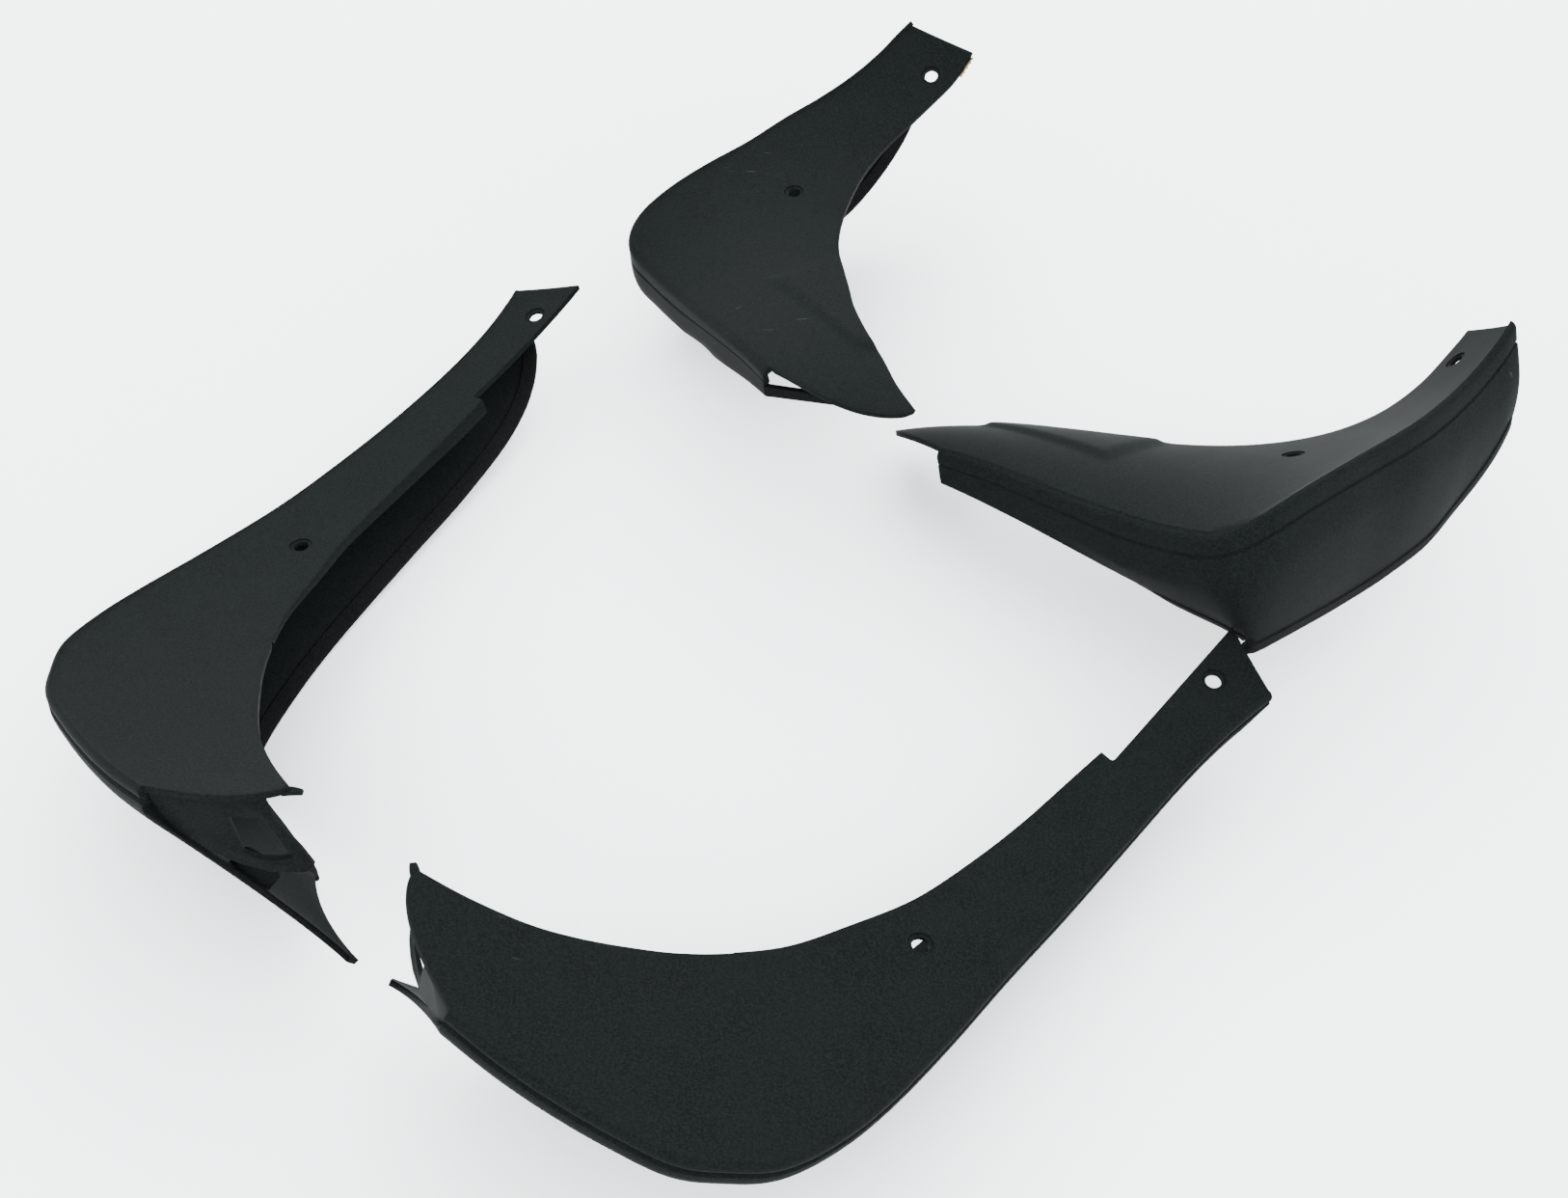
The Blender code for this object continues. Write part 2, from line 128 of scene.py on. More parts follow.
# End web in its own plane: run along the end edge from the outer corner, and fall below the face
WEB_THICKNESS = 2.5
WEB_SET_IN = 4.0
WEB_OUTLINE = [(3, 0), (20, 0), (40, 0), (54, 0), (54.5, 16), (60, 34), (62, 44), (58, 47), (50, 46),
               (42, 45), (30, 40), (20, 33), (8, 22), (4, 16)]
WEB_POCKET = [(34, 13), (50, 13), (53, 26), (55, 38), (48, 39), (40, 38), (34, 34)]
TAB_THICKNESS = 2.2
TAB_WIDTH = 20.0
TAB_REACH = 12.0
TAB_RISE = 3.0
TAB_SHARE = 0.3
TAB_STEPS = 14

# Raised pad of the sill flap: its sides, each with the pad on the right of the way it runs
PAD_RISE = 2.2
PAD_BLEND = 7.0
PAD_SIDES = [((-76, 56), (-98, 141)), ((-98, 141), (-79, 158)), ((-34, 68), (-76, 56))]

CLIP_TEETH = 4
CLIP_REACH = 7.0
CLIP_TOOTH = 1.8

# The upper screw hole, the rounding of the lower end, the crease band below the outer edge and
# the tongue's tip for each design, and the tongue's own shape
ARCH_TOP_HOLE = (208, 0)
ARCH_END_BOW = 7.0
ARCH_BAND = (16.0, 1.5, 4.6, 8.4, 1.4)
ARCH_TONGUE = (-163, 153, -88)
SILL_TOP_HOLE = (118, 7)
SILL_END_BOW = 19.0
SILL_BAND = (26.0, 0.5, 10.2, 12.4, 0.7)
SILL_TONGUE = (-94, 168, -12)
SKIN_BULGE = 0.04
TONGUE_TAPER = 1.6
TONGUE_TIP_WIDTH = 6.0

# Camera, in millimetres for the lens and metres for its place, and the studio light
CAMERA_LENS = 44.28
CAMERA_SENSOR = 36.0
CAMERA_PLACE = (-0.021, -0.6904, 0.793)
CAMERA_TILT = 41.24
NEAREST_SEEN = 0.01
WORLD_LIGHT = 5.2
WORLD_COLOUR = (0.93, 0.97, 1.0, 1)
KEY_LIGHT = 48.0
KEY_PLACE = (0.2, 1.9, 1.9)
KEY_SIZE = (2.4, 1.4)
FILL_LIGHT = 9.0
FILL_PLACE = (-1.5, -0.8, 1.8)
FILL_SIZE = (1.8, 1.8)
FLOOR_HALF = 6.0
FLOOR_DROP = 0.0004

PLASTIC_COLOUR = (0.0024, 0.0031, 0.0029)
RUBBER_COLOUR = (0.0028, 0.0030, 0.0030)
DUST_COLOUR = (0.30, 0.29, 0.27)
PLASTIC_GLOSS = 0.60
RUBBER_GLOSS = 0.72
PLASTIC_SHEEN = 0.012
STEEL_DARK = (0.035, 0.030, 0.026, 1)
STEEL_BROWN = (0.26, 0.16, 0.08, 1)
PLASTIC_SEED_STEP = 3.1
RUBBER_SEED_STEP = 5.3


class Design:
    """One flap design: ribs, dished face, skin profile and tongue."""

    def __init__(self, ribs, dish, top_hole, end_bow, band, bulge, tongue, taper, tip_width):
        self.dish = dish
        self.holes = ((0, 0), top_hole)
        self.end_bow = end_bow
        self.band = band
        self.bulge = bulge
        self.tongue = Vector(tongue)
        self.taper = taper
        self.tip_width = tip_width
        self.stations = blend_ribs(ribs, STATIONS_PER_RIB)
        self.pad = None

    def base(self, x, y):
        """Height of the dished face."""
        terms = (x, y, x * x, x * y, y * y, x ** 3, x * x * y, x * y * y, y ** 3)
        return sum(share * term for share, term in zip(self.dish, terms))

    def height(self, x, y):
        """Height of the face with its raised pad."""
        return self.base(x, y) + (self.pad(x, y) if self.pad else 0)

    def normal(self, x, y):
        """The face's outward normal."""
        slope_x = self.base(x + 1, y) - self.base(x - 1, y)
        slope_y = self.base(x, y + 1) - self.base(x, y - 1)
        return Vector((-slope_x / 2, -slope_y / 2, 1)).normalized()

    def outward(self, index):
        """Flat direction square to the outer edge."""
        last = len(self.stations) - 1
        reach = STATIONS_PER_RIB // 2
        before = self.stations[max(index - reach, 0)][0]
        after = self.stations[min(index + reach, last)][0]
        along = (after - before).normalized()
        square = Vector((along.y, -along.x))
        outer, inner = self.stations[index][:2]
        return -square if square.dot(outer - inner) < 0 else square

    def bow(self, index, share):
        """How far the lower end bows out, at a share of the way across it."""
        bowed = 2 * STATIONS_PER_RIB
        fade = max(0, 1 - (len(self.stations) - 1 - index) / bowed)
        outer, inner = self.stations[-1][:2]
        across = (outer - inner).normalized()
        return Vector((across.y, -across.x)) * self.end_bow * fade * math.sin(math.pi * share ** 0.7)

    def face_points(self, index):
        """Points across the face from the concave edge to the shoulder."""
        outer, inner = self.stations[index][:2]
        shoulder = outer - self.outward(index) * EDGE_RADIUS
        points = []
        for span in range(FACE_SPANS + 1):
            share = span / FACE_SPANS
            flat = inner.lerp(shoulder, share) + self.bow(index, share)
            points.append(Vector((flat.x, flat.y, self.height(flat.x, flat.y))))
        return points

    def edge_points(self, index):
        """Points round the edge between the face and the band."""
        outer = self.stations[index][0]
        square = self.outward(index)
        top = self.base(outer.x, outer.y)
        points = []
        for step in range(1, ARC_STEPS + 1):
            angle = math.radians(90 * step / ARC_STEPS)
            flat = outer - square * EDGE_RADIUS * (1 - math.sin(angle))
            points.append(Vector((flat.x, flat.y, top - EDGE_RADIUS * (1 - math.cos(angle)))))
        return points

    def skin_points(self, index):
        """Points down the band, round the crease and down the skin to its free edge."""
        outer, _, depth, inset = self.stations[index]
        square = self.outward(index)
        top = self.base(outer.x, outer.y)
        crease, flare, groove_top, groove_end, groove_depth = self.band
        crease_depth = min(crease, EDGE_RADIUS + 0.6 * (depth - EDGE_RADIUS))
        shrink = crease_depth / crease
        profile = [(groove_top, 0.0), (groove_top + 0.5, -groove_depth),
                   (groove_end - 0.9, -groove_depth), (groove_end, flare * 0.5),
                   (crease * 0.72, flare * 0.85)]
        points = []
        for fall, side in profile:
            flat = outer + square * side * shrink
            fall = EDGE_RADIUS + (fall - EDGE_RADIUS) * shrink
            points.append(Vector((flat.x, flat.y, top - fall)))
        corner = Vector((*(outer + square * flare * shrink), top - crease_depth))
        free = Vector((*(outer - square * inset), top - depth))
        bulge = square.to_3d() * self.bulge * (free - corner).length
        start = points[-1]
        # The crease is rounded between the band and the skin.
        reach = min(0.16, 7.0 / max((free - corner).length, 8.0))
        leave = corner.lerp(free, reach) + bulge * 4 * reach * (1 - reach)
        for step in (0.25, 0.5, 0.75):
            points.append(start * (1 - step) ** 2 + corner * 2 * step * (1 - step) + leave * step ** 2)
        for span in range(SKIN_SPANS + 1):
            share = reach + (1 - reach) * span / SKIN_SPANS
            points.append(corner.lerp(free, share) + bulge * 4 * share * (1 - share))
        return points

    def section(self, index):
        """The whole outer surface at one station."""
        return self.face_points(index) + self.edge_points(index) + self.skin_points(index)

    def tongue_section(self, share):
        """Points of the skin past the lower end."""
        root = self.skin_points(len(self.stations) - 1)[4:]
        middle = (root[0] + root[-1]) / 2
        width = (root[-1] - root[0]).length
        keep = (1 - share) ** self.taper
        scale = keep + (1 - keep) * self.tip_width / width
        centre = middle.lerp(self.tongue, share)
        return [centre + (point - middle) * scale for point in root]


def catmull_rom(a, b, c, d, t):
    """The value at t on the smooth curve from b to c."""
    return 0.5 * (2 * b + (c - a) * t + (2 * a - 5 * b + 4 * c - d) * t * t
                  + (3 * b - a - 3 * c + d) * t ** 3)


def blend_ribs(ribs, steps):
    """Stations on smooth curves through the ribs."""
    rows = [(*outer, *inner, depth, inset) for outer, inner, depth, inset in ribs]
    stations = []
    for index in range(len(rows) - 1):
        four = (rows[max(index - 1, 0)], rows[index], rows[index + 1],
                rows[min(index + 2, len(rows) - 1)])
        for step in range(steps):
            stations.append([catmull_rom(*values, step / steps) for values in zip(*four)])
    stations.append(list(rows[-1]))
    return [(Vector(s[0:2]), Vector(s[2:4]), s[4], s[5]) for s in stations]


def smooth(low, high, value):
    """0 below low, 1 above high and smooth between."""
    t = min(max((value - low) / (high - low), 0), 1)
    return t * t * (3 - 2 * t)


def pad_height(x, y):
    """The raised pad beside the concave edge of the sill flap's lower leg."""
    spot = Vector((x, y))
    inside = math.inf
    for (ax, ay), (bx, by) in PAD_SIDES:
        along = (Vector((bx, by)) - Vector((ax, ay))).normalized()
        inside = min(inside, (spot - Vector((ax, ay))).dot(Vector((along.y, -along.x))))
    return PAD_RISE * smooth(-PAD_BLEND / 2, PAD_BLEND / 2, inside)


def plastic_material(name, colour, seed, gloss=PLASTIC_GLOSS):
    """Moulded plastic: fine matt grain, faint mottling, dust and a few pale scuffs."""
    material = bpy.data.materials.new(name)
    material.use_nodes = True
    tree = material.node_tree
    shader = tree.nodes["Principled BSDF"]
    shader.inputs["Specular IOR Level"].default_value = PLASTIC_SHEEN
    place = tree.nodes.new("ShaderNodeTexCoord")

    def texture(kind, scale, detail=2.0, offset=0.0, stretch=(1, 1, 1)):
        mapping = tree.nodes.new("ShaderNodeMapping")
        mapping.inputs["Location"].default_value = (seed + offset, seed * 0.7, offset)
        mapping.inputs["Scale"].default_value = stretch
        tree.links.new(place.outputs["Object"], mapping.inputs["Vector"])
        node = tree.nodes.new(kind)
        node.inputs["Scale"].default_value = scale
        if "Detail" in node.inputs:
            node.inputs["Detail"].default_value = detail
        tree.links.new(mapping.outputs["Vector"], node.inputs["Vector"])
        return node

    def ramp(source, low, high, out_low, out_high):
        node = tree.nodes.new("ShaderNodeMapRange")
        node.inputs["From Min"].default_value = low
        node.inputs["From Max"].default_value = high
        node.inputs["To Min"].default_value = out_low
        node.inputs["To Max"].default_value = out_high
        tree.links.new(source, node.inputs["Value"])
        return node.outputs["Result"]

    def mix(amount, a, b):
        node = tree.nodes.new("ShaderNodeMix")
        node.data_type = "RGBA"
        tree.links.new(amount, node.inputs["Factor"])
        for socket, value in ((node.inputs[6], a), (node.inputs[7], b)):
            if isinstance(value, tuple):
                socket.default_value = (*value, 1)
            else:
                tree.links.new(value, socket)
        return node.outputs[2]

    mottle = texture("ShaderNodeTexNoise", 38.0, 4.0)
    grain = texture("ShaderNodeTexNoise", 950.0, 3.0, 0.3)
    pebble = texture("ShaderNodeTexVoronoi", 620.0, offset=0.6)
    scuff = texture("ShaderNodeTexNoise", 60.0, 6.0, 1.7, (1.0, 9.0, 2.0))
    patch = texture("ShaderNodeTexNoise", 9.0, 1.0, 2.9)
    speck = texture("ShaderNodeTexVoronoi", 42.0, offset=3.3)

    light = tuple(min(1, value * 1.10 + 0.0004) for value in colour)
    dark = tuple(value * 0.93 for value in colour)
    base = mix(ramp(mottle.outputs["Fac"], 0.34, 0.66, 0, 1), dark, light)
    grainy = mix(ramp(grain.outputs["Fac"], 0.38, 0.66, 0.0, 0.9), base,
                 tuple(value * 1.5 + 0.0015 for value in colour))
    scratch = ramp(scuff.outputs["Fac"], 0.67, 0.74, 0, 1)
    where = ramp(patch.outputs["Fac"], 0.60, 0.70, 0, 0.5)
    both = tree.nodes.new("ShaderNodeMath")
    both.operation = "MULTIPLY"
    tree.links.new(scratch, both.inputs[0])
    tree.links.new(where, both.inputs[1])
    scuffed = mix(both.outputs[0], grainy, tuple(value * 3.4 + 0.02 for value in colour))
    dust = ramp(speck.outputs["Distance"], 0.022, 0.010, 0, 0.55)
    final = mix(dust, scuffed, DUST_COLOUR)
    tree.links.new(final, shader.inputs["Base Color"])
    tree.links.new(ramp(mottle.outputs["Fac"], 0.3, 0.7, gloss - 0.015, gloss + 0.025),
                   shader.inputs["Roughness"])

    coarse = tree.nodes.new("ShaderNodeBump")
    coarse.inputs["Strength"].default_value = 0.22
    coarse.inputs["Distance"].default_value = 0.00012
    tree.links.new(pebble.outputs["Distance"], coarse.inputs["Height"])
    fine = tree.nodes.new("ShaderNodeBump")
    fine.inputs["Strength"].default_value = 0.50
    fine.inputs["Distance"].default_value = 0.00010
    tree.links.new(grain.outputs["Fac"], fine.inputs["Height"])
    tree.links.new(coarse.outputs["Normal"], fine.inputs["Normal"])
    tree.links.new(fine.outputs["Normal"], shader.inputs["Normal"])
    return material


def metal_material(name):
    """Spring steel with brownish patches."""
    material = bpy.data.materials.new(name)
    material.use_nodes = True
    tree = material.node_tree
    shader = tree.nodes["Principled BSDF"]
    shader.inputs["Metallic"].default_value = 0.85
    place = tree.nodes.new("ShaderNodeTexCoord")
    noise = tree.nodes.new("ShaderNodeTexNoise")
    noise.inputs["Scale"].default_value = 240.0
    noise.inputs["Detail"].default_value = 5.0
    tree.links.new(place.outputs["Object"], noise.inputs["Vector"])
    ramp = tree.nodes.new("ShaderNodeValToRGB")
    ramp.color_ramp.elements[0].position = 0.38
    ramp.color_ramp.elements[0].color = STEEL_DARK
    ramp.color_ramp.elements[1].position = 0.62
    ramp.color_ramp.elements[1].color = STEEL_BROWN
    tree.links.new(noise.outputs["Fac"], ramp.inputs["Fac"])
    tree.links.new(ramp.outputs["Color"], shader.inputs["Base Color"])
    rough = tree.nodes.new("ShaderNodeMapRange")
    rough.inputs["To Min"].default_value = 0.35
    rough.inputs["To Max"].default_value = 0.65
    tree.links.new(noise.outputs["Fac"], rough.inputs["Value"])
    tree.links.new(rough.outputs["Result"], shader.inputs["Roughness"])
    bump = tree.nodes.new("ShaderNodeBump")
    bump.inputs["Strength"].default_value = 0.3
    bump.inputs["Distance"].default_value = 0.0001
    tree.links.new(noise.outputs["Fac"], bump.inputs["Height"])
    tree.links.new(bump.outputs["Normal"], shader.inputs["Normal"])
    return material


def floor_material():
    """Plain pale floor with the faintest unevenness."""
    material = bpy.data.materials.new("pale_floor")
    material.use_nodes = True
    tree = material.node_tree
    shader = tree.nodes["Principled BSDF"]
    shader.inputs["Roughness"].default_value = 0.9
    shader.inputs["Specular IOR Level"].default_value = 0.1
    noise = tree.nodes.new("ShaderNodeTexNoise")
    noise.inputs["Scale"].default_value = 3.0
    ramp = tree.nodes.new("ShaderNodeValToRGB")
    ramp.color_ramp.elements[0].color = (0.985, 0.985, 0.984, 1)
    ramp.color_ramp.elements[1].color = (0.97, 0.97, 0.968, 1)
    tree.links.new(noise.outputs["Fac"], ramp.inputs["Fac"])
    tree.links.new(ramp.outputs["Color"], shader.inputs["Base Color"])
    return material


def settle(flap):
    """The matrix that takes a flap's own frame to the row frame."""
    _, _, location, turn = FLAPS[flap]
    return Matrix.Translation(location) @ Euler(turn).to_matrix().to_4x4()


def new_mesh(name, vertices, faces, hand, recalc=False):
    """A mesh object in a flap's own frame, in metres, mirrored when hand is -1."""
    mesh = bpy.data.meshes.new(name)
    mesh.from_pydata([(v[0] * MM, v[1] * MM * hand, v[2] * MM) for v in vertices], [], faces)
    work = bmesh.new()
    work.from_mesh(mesh)
    bmesh.ops.remove_doubles(work, verts=work.verts, dist=1e-6)
    if recalc:
        bmesh.ops.recalc_face_normals(work, faces=work.faces)
    elif hand < 0:
        bmesh.ops.reverse_faces(work, faces=work.faces)
    for face in work.faces:
        face.smooth = True
    work.to_mesh(mesh)
    work.free()
    made = bpy.data.objects.new(name, mesh)
    bpy.context.scene.collection.objects.link(made)
    return made


def freeze(made, flap):
    """Apply the modifiers, place the mesh in the row frame and shade it by angle."""
    graph = bpy.context.evaluated_depsgraph_get()
    mesh = bpy.data.meshes.new_from_object(made.evaluated_get(graph))
    made.modifiers.clear()
    old = made.data
    made.data = mesh
    bpy.data.meshes.remove(old)
    mesh.transform(settle(flap))
    mesh.set_sharp_from_angle(angle=math.radians(38))
    return made


def cut(made, cutter, solver="EXACT"):
    """Cut one closed mesh from another."""
    modifier = made.modifiers.new("cut", "BOOLEAN")
    modifier.operation = "DIFFERENCE"
    modifier.solver = solver
    modifier.object = cutter


def prism(name, outline, low, high, hand):
    """An upright closed prism over a flat outline."""
    count = len(outline)
    vertices = [(x, y, low) for x, y in outline] + [(x, y, high) for x, y in outline]
    faces = [tuple(range(count - 1, -1, -1)), tuple(range(count, 2 * count))]
    for k in range(count):
        after = (k + 1) % count
        faces.append((k, after, count + after, count + k))
    return new_mesh(name, vertices, faces, hand, recalc=True)


def tube(name, loops, hand):
    """A closed solid through equal loops of points."""
    count = len(loops[0])
    vertices = [point for loop in loops for point in loop]
    faces = []
    for row in range(len(loops) - 1):
        for k in range(count):
            a = row * count + k
            b = row * count + (k + 1) % count
            faces.append((a, a + count, b + count, b))
    faces.append(tuple(range(count)))
    faces.append(tuple(range(len(loops) * count - 1, (len(loops) - 1) * count - 1, -1)))
    return new_mesh(name, vertices, faces, hand, recalc=True)


def hole_cutters(design, hand):
    """A drill and a slightly tapered seat at each screw hole."""
    cutters = []
    for x, y in design.holes:
        normal = design.normal(x, y)
        turn = normal.to_track_quat("Z", "Y").to_matrix()
        at = Vector((x, y, design.height(x, y)))
        for low, high, small, large in ((-14, 14, HOLE_RADIUS, HOLE_RADIUS),
                                        (-SEAT_DEPTH, 2, SEAT_RADIUS - 0.3, SEAT_RADIUS + 0.6)):
            loops = []
            for rise, radius in ((low, small), (high, large)):
                ring = []
                for side in range(HOLE_SIDES):
                    angle = 2 * math.pi * side / HOLE_SIDES
                    ring.append(at + turn @ Vector((radius * math.cos(angle),
                                                    radius * math.sin(angle), rise)))
                loops.append(ring)
            cutters.append(tube("cutter", loops, hand))
    return cutters


def build_shell(flap):
    """The flap's plastic shell as one thin moulding."""
    kind, hand = FLAPS[flap][:2]
    design = DESIGNS[kind]
    count = len(design.stations)
    sections = [design.section(index) for index in range(count)]
    columns = len(sections[0])
    vertices = [point for section in sections for point in section]
    faces = []
    for row in range(count - 1):
        for column in range(columns - 1):
            a = row * columns + column
            faces.append((a, a + columns, a + columns + 1, a + 1))
    # The tongue runs on from the skin.
    width = len(design.tongue_section(0))
    previous = [(count - 1) * columns + columns - width + k for k in range(width)]
    for station in range(1, TONGUE_STATIONS + 1):
        start = len(vertices)
        vertices += design.tongue_section(station / TONGUE_STATIONS)
        current = [start + k for k in range(width)]
        for k in range(width - 1):
            faces.append((previous[k], current[k], current[k + 1], previous[k + 1]))
        previous = current
    # The return lip hangs from the concave edge.
    if kind == "arch":
        first, last, depth = LIP_FIRST_RIB * STATIONS_PER_RIB, LIP_LAST_RIB * STATIONS_PER_RIB, LIP_DEPTH
        below = []
        for row in range(first, last + 1):
            share = (row - first) / (last - first)
            drop = (depth * (1 - share) + LIP_END_DEPTH * share) * smooth(-0.06, 0.03, share)
            edge = sections[row][0]
            outer, inner = design.stations[row][:2]
            lean = (inner - outer).normalized().to_3d() * 0.5
            start = len(vertices)
            vertices += [edge + lean - Vector((0, 0, drop * part)) for part in (0.3, 0.65, 1.0)]
            below.append([row * columns, start, start + 1, start + 2])
        for a, b in zip(below, below[1:]):
            for k in range(3):
                faces.append((a[k + 1], b[k + 1], b[k], a[k]))
    shell = new_mesh(flap + "_shell", vertices, faces, hand)
    solidify = shell.modifiers.new("wall", "SOLIDIFY")
    solidify.thickness = WALL * MM
    solidify.offset = -1
    solidify.use_even_offset = True
    cutters = []
    if kind == "arch":
        cutters.append(prism("cutter", notch_outline(), -60, 90, hand))
        cut(shell, cutters[0], "FAST")
    bevel = shell.modifiers.new("edges", "BEVEL")
    bevel.width = 0.45 * MM
    bevel.segments = 2
    bevel.limit_method = "ANGLE"
    bevel.angle_limit = math.radians(48)
    bevel.harden_normals = False
    for cutter in hole_cutters(design, hand):
        cut(shell, cutter)
        cutters.append(cutter)
    freeze(shell, flap)
    for cutter in cutters:
        bpy.data.objects.remove(cutter, do_unlink=True)
    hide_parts(flap + "_shell")
    return shell


def notch_outline():
    """The sliver that narrows the arch flap's leg, with a rounded ear beside it."""
    root = Vector(NOTCH_ROOT)
    end = Vector(LEG_END)
    points = []
    for step in range(7):
        angle = math.radians(180 + 90 * step / 6)
        points.append(root + Vector((NOTCH_FILLET, NOTCH_FILLET))
                      + Vector((math.cos(angle), math.sin(angle))) * NOTCH_FILLET)
    points.append(end)
    points.append(end + Vector((0, 24)))
    points.append(root + Vector((0, 24)))
    return [tuple(point) for point in points]


def build_seal(flap):
    """The soft bead that grips the skin's free edge."""
    kind, hand = FLAPS[flap][:2]
    design = DESIGNS[kind]
    first, last = (end * STATIONS_PER_RIB for end in SEAL_RIBS[kind])
    half = SEAL_WIDTH / 2
    profile = []
    for step in range(8):
        angle = math.pi * step / 7
        profile.append((half * math.cos(angle), SEAL_DROP - half + half * math.sin(angle)))
    profile += [(-half * 0.96, -SEAL_GRIP), (-half * 0.7, -SEAL_GRIP - 0.5),
                (half * 0.7, -SEAL_GRIP - 0.5), (half * 0.96, -SEAL_GRIP)]
    loops = []
    for row in range(first, last + 1):
        points = design.skin_points(row)
        point = points[-1]
        down = (points[-1] - points[-2]).normalized()
        ahead = design.skin_points(min(row + 1, len(design.stations) - 1))[-1]
        behind = design.skin_points(max(row - 1, 0))[-1]
        along = (ahead - behind).normalized()
        out = along.cross(down).normalized()
        if out.dot(design.outward(row).to_3d()) < 0:
            out = -out
        down = (down - along * down.dot(along)).normalized()
        core = point - out * WALL / 2
        end = min(row - first, last - row)
        grow = 0.55 + 0.45 * smooth(0, 3, end)
        loops.append([core + (out * side + down * fall) * grow for side, fall in profile])
    seal = freeze(tube(flap + "_edge_seal", loops, hand), flap)
    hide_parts(flap + "_edge_seal")
    return seal


def build_web(flap):
    """The plate under the arch flap's lower end, with its pocket."""
    hand = FLAPS[flap][1]
    design = DESIGNS["arch"]
    outer, inner = design.stations[-1][:2]
    across = (inner - outer).normalized()
    inward = Vector((across.y, -across.x))
    if inward.dot(-outer) < 0:
        inward = -inward
    length = (inner - outer).length
    solids = []
    for name, outline in (("web", WEB_OUTLINE), ("pocket", WEB_POCKET)):
        thick = WEB_THICKNESS / 2 if name == "web" else WEB_THICKNESS * 3
        front, back = [], []
        for run, fall in outline:
            share = 1 - run / length
            flat = outer + across * run + inward * WEB_SET_IN
            flat -= inward * design.end_bow * 0.6 * math.sin(math.pi * max(share, 0.0) ** 0.7)
            top = design.base(flat.x, flat.y) - WALL + 0.2
            for loop, side in ((front, -thick), (back, thick)):
                spot = flat + inward * side
                loop.append(Vector((spot.x, spot.y, top - fall)))
        solids.append(tube(name, [front, back], hand))
    web, pocket = solids
    web.name = flap + "_end_web"
    cut(web, pocket)
    bevel = web.modifiers.new("edges", "BEVEL")
    bevel.width = 0.4 * MM
    bevel.segments = 2
    bevel.limit_method = "ANGLE"
    bevel.angle_limit = math.radians(50)
    freeze(web, flap)
    bpy.data.objects.remove(pocket, do_unlink=True)
    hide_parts(flap + "_end_web")
    return web


def build_tab(flap):
    """The curved flange inside the tongue's root."""
    hand = FLAPS[flap][1]
    design = DESIGNS["arch"]
    low, high = design.tongue_section(TAB_SHARE), design.tongue_section(TAB_SHARE + 0.1)
    middle = len(low) // 2
    along = (high[middle] - low[middle]).normalized()
    down = (low[-1] - low[0]).normalized()
    inward = along.cross(down).normalized()
    if inward.x < 0:
        inward = -inward
    root = low[middle] + inward * (WALL - 0.3)
    loops = []
    for step in range(TAB_STEPS + 1):
        share = step / TAB_STEPS
        lift = down * (TAB_RISE * 4 * share * (1 - share))
        reach = TAB_REACH * (0.72 + 0.28 * math.sin(math.pi * share) ** 0.5)
        start = root + along * TAB_WIDTH * (share - 0.5) - lift
        half = TAB_THICKNESS / 2
        loop = [(0, -half), (reach - half, -half), (reach - half * 0.3, -half * 0.7),
                (reach, 0), (reach - half * 0.3, half * 0.7), (reach - half, half), (0, half)]
        loops.append([start + inward * out + down * side for out, side in loop])
    tab = freeze(tube(flap + "_end_tab", loops, hand), flap)
    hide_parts(flap + "_end_tab")
    return tab


def build_lug(flap):
    """The small hooked lug at the arch flap's inner lower tip."""
    hand = FLAPS[flap][1]
    design = DESIGNS["arch"]
    outer, inner = design.stations[-1][:2]
    across = (inner - outer).normalized()
    side = Vector((across.y, -across.x))
    loops = []
    for step in range(7):
        share = step / 6
        spot = inner - across * 4 + across * (LUG_LENGTH + 4) * share
        wide = LUG_WIDTH * (1 - 0.35 * share ** 3) / 2
        top = design.base(*inner) - 1.4 - LUG_DROOP * share ** 2
        thick = LUG_THICKNESS * (1 - 0.3 * share ** 2)
        loops.append([Vector((*(spot + side * wide * w), top - thick * t))
                      for w, t in ((-1, 0.2), (-0.8, 0), (0.8, 0), (1, 0.2), (1, 0.8), (0.8, 1),
                                   (-0.8, 1), (-1, 0.8))])
    return freeze(tube(flap + "_tip_lug", loops, hand), flap)


def build_clip(flap):
    """The toothed spring clip under the concave edge at the sill flap's tip."""
    hand = FLAPS[flap][1]
    design = DESIGNS["sill"]
    first = design.stations[0][1]
    second = design.stations[STATIONS_PER_RIB][1]
    along = (second - first).normalized()
    out = Vector((along.y, -along.x))
    if out.y < 0:
        out = -out
    up = design.normal(*first.lerp(second, 0.5))
    out = out.to_3d()
    out = (out - up * out.dot(up)).normalized()
    loops = []
    for step in range(4 * CLIP_TEETH + 1):
        share = 0.12 + 0.66 * step / (4 * CLIP_TEETH)
        flat = first.lerp(second, share)
        edge = Vector((flat.x, flat.y, design.base(flat.x, flat.y)))
        tooth = abs(step % 4 - 2) / 2
        reach = 0.9 + CLIP_TOOTH * tooth
        loop = [(-CLIP_REACH, -WALL - 0.2), (0.4, -WALL - 0.2), (0.5, -WALL + 1.6), (reach, -WALL + 1.9),
                (reach, -WALL + 1.3), (1.2, -WALL + 0.8), (1.1, -WALL - 0.9),
                (-CLIP_REACH, -WALL - 0.9)]
        loops.append([edge + out * side + up * rise for side, rise in loop])
    clip = freeze(tube(flap + "_spring_clip", loops, hand), flap)
    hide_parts(flap + "_spring_clip")
    return clip


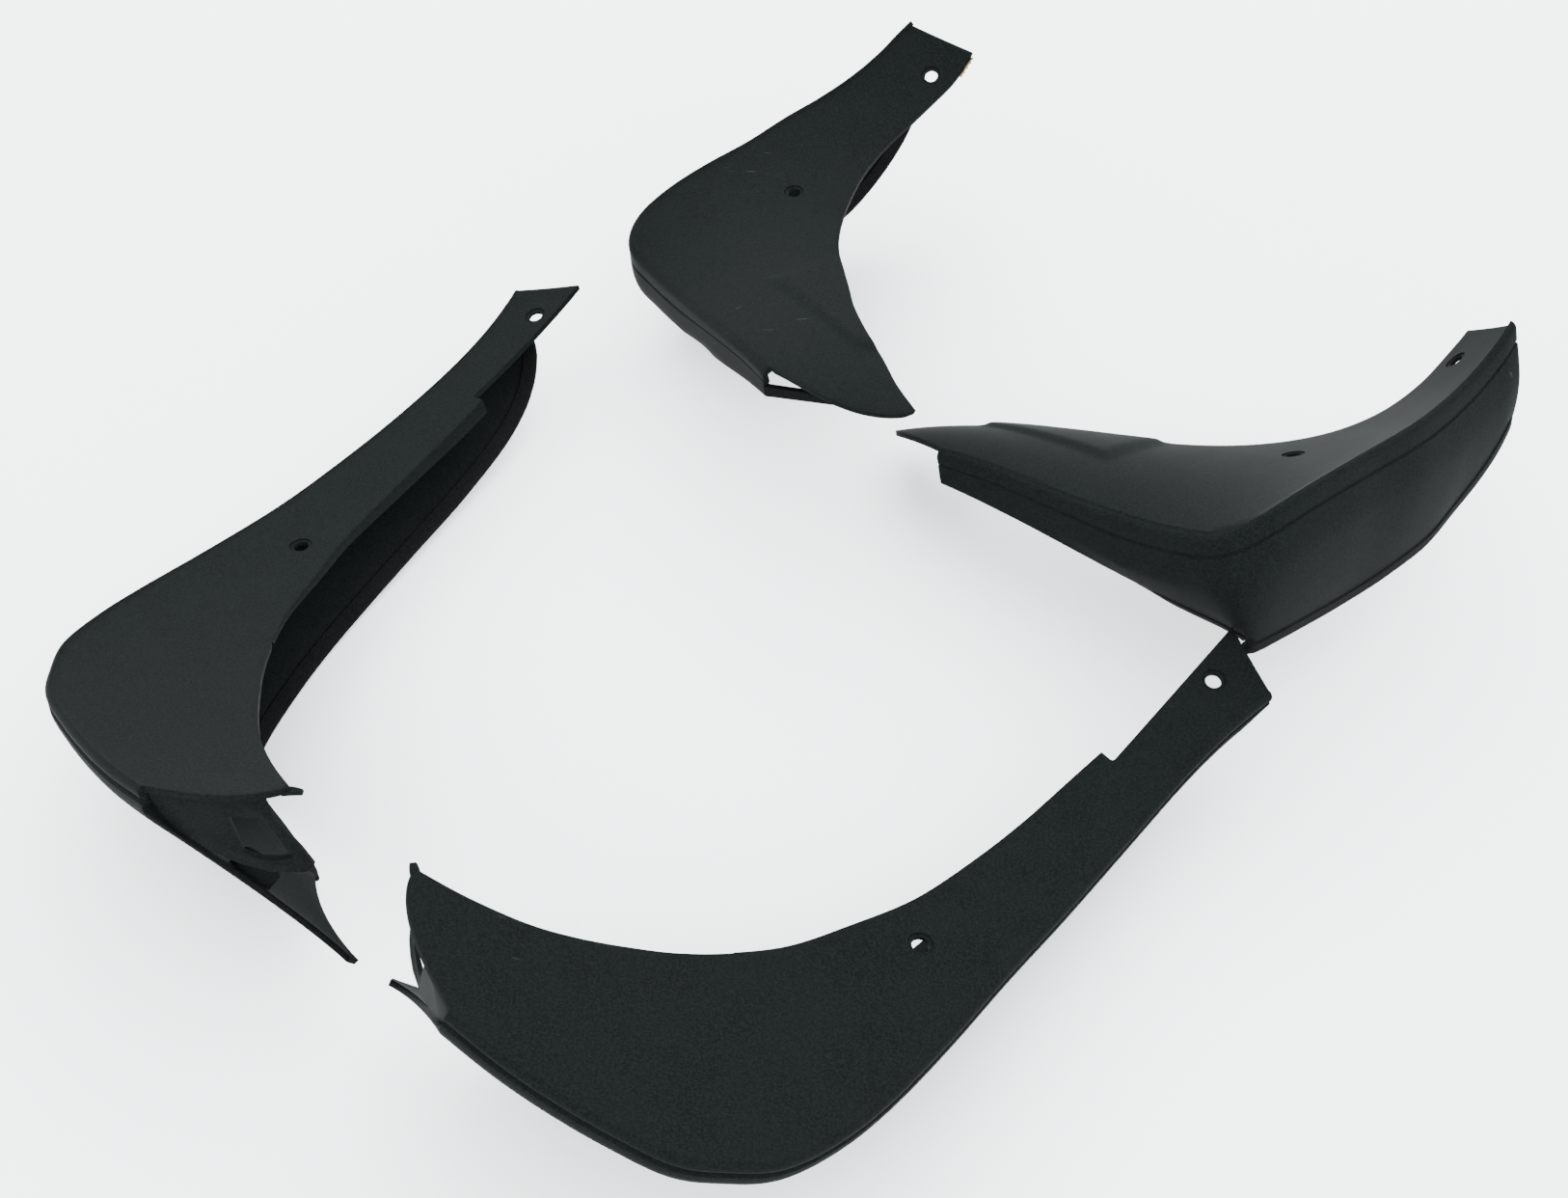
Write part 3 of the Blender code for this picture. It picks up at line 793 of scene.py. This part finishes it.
def add_area(name, location, target, size, power, colour):
    """A soft rectangular studio light."""
    lamp = bpy.data.lights.new(name, "AREA")
    lamp.shape = "RECTANGLE"
    lamp.size, lamp.size_y = size
    lamp.energy = power
    lamp.color = colour
    holder = bpy.data.objects.new(name, lamp)
    holder.location = location
    holder.rotation_euler = (Vector(target) - Vector(location)).to_track_quat("-Z", "Y").to_euler()
    bpy.context.scene.collection.objects.link(holder)


def build_stage():
    """Floor, soft light, world and camera."""
    half = FLOOR_HALF
    mesh = bpy.data.meshes.new("floor")
    mesh.from_pydata([(-half, -half, 0), (half, -half, 0), (half, half, 0), (-half, half, 0)], [],
                     [(0, 1, 2, 3)])
    floor = bpy.data.objects.new("floor", mesh)
    floor.location.z = -FLOOR_DROP
    mesh.materials.append(floor_material())
    bpy.context.scene.collection.objects.link(floor)

    world = bpy.data.worlds.new("studio")
    world.use_nodes = True
    background = world.node_tree.nodes["Background"]
    background.inputs["Color"].default_value = WORLD_COLOUR
    background.inputs["Strength"].default_value = WORLD_LIGHT
    bpy.context.scene.world = world
    add_area("key", KEY_PLACE, (0, 0.1, 0), KEY_SIZE, KEY_LIGHT, (0.98, 1.0, 1.0))
    add_area("fill", FILL_PLACE, (0, 0, 0), FILL_SIZE, FILL_LIGHT, (1.0, 0.99, 0.97))

    camera = bpy.data.cameras.new("camera")
    camera.sensor_width = CAMERA_SENSOR
    camera.lens = CAMERA_LENS
    camera.clip_start = NEAREST_SEEN
    holder = bpy.data.objects.new("camera", camera)
    holder.location = CAMERA_PLACE
    holder.rotation_euler = (math.radians(CAMERA_TILT), 0, 0)
    bpy.context.scene.collection.objects.link(holder)
    bpy.context.scene.camera = holder


DESIGNS = {
    "arch": Design(ARCH_RIBS, ARCH_DISH, ARCH_TOP_HOLE, ARCH_END_BOW, ARCH_BAND, SKIN_BULGE,
                   ARCH_TONGUE, TONGUE_TAPER, TONGUE_TIP_WIDTH),
    "sill": Design(SILL_RIBS, SILL_DISH, SILL_TOP_HOLE, SILL_END_BOW, SILL_BAND, SKIN_BULGE,
                   SILL_TONGUE, TONGUE_TAPER, TONGUE_TIP_WIDTH),
}
DESIGNS["sill"].pad = pad_height

build_stage()
for number, flap_name in enumerate(FLAPS):
    flap_kind = FLAPS[flap_name][0]
    plastic = plastic_material(flap_name + "_plastic", PLASTIC_COLOUR,
                               PLASTIC_SEED_STEP * number + 1)
    rubber = plastic_material(flap_name + "_rubber", RUBBER_COLOUR,
                              RUBBER_SEED_STEP * number + 2, RUBBER_GLOSS)
    moulded = [build_shell(flap_name)]
    if flap_kind == "arch":
        moulded += [build_web(flap_name), build_tab(flap_name), build_lug(flap_name)]
    soft = build_seal(flap_name)
    for piece in moulded:
        piece.data.materials.clear()
        piece.data.materials.append(plastic)
    soft.data.materials.clear()
    soft.data.materials.append(rubber)
    every = moulded + [soft]
    if flap_kind == "sill":
        steel = build_clip(flap_name)
        steel.data.materials.clear()
        steel.data.materials.append(metal_material(flap_name + "_steel"))
        every.append(steel)
    for piece in every:
        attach(piece, flap_name)
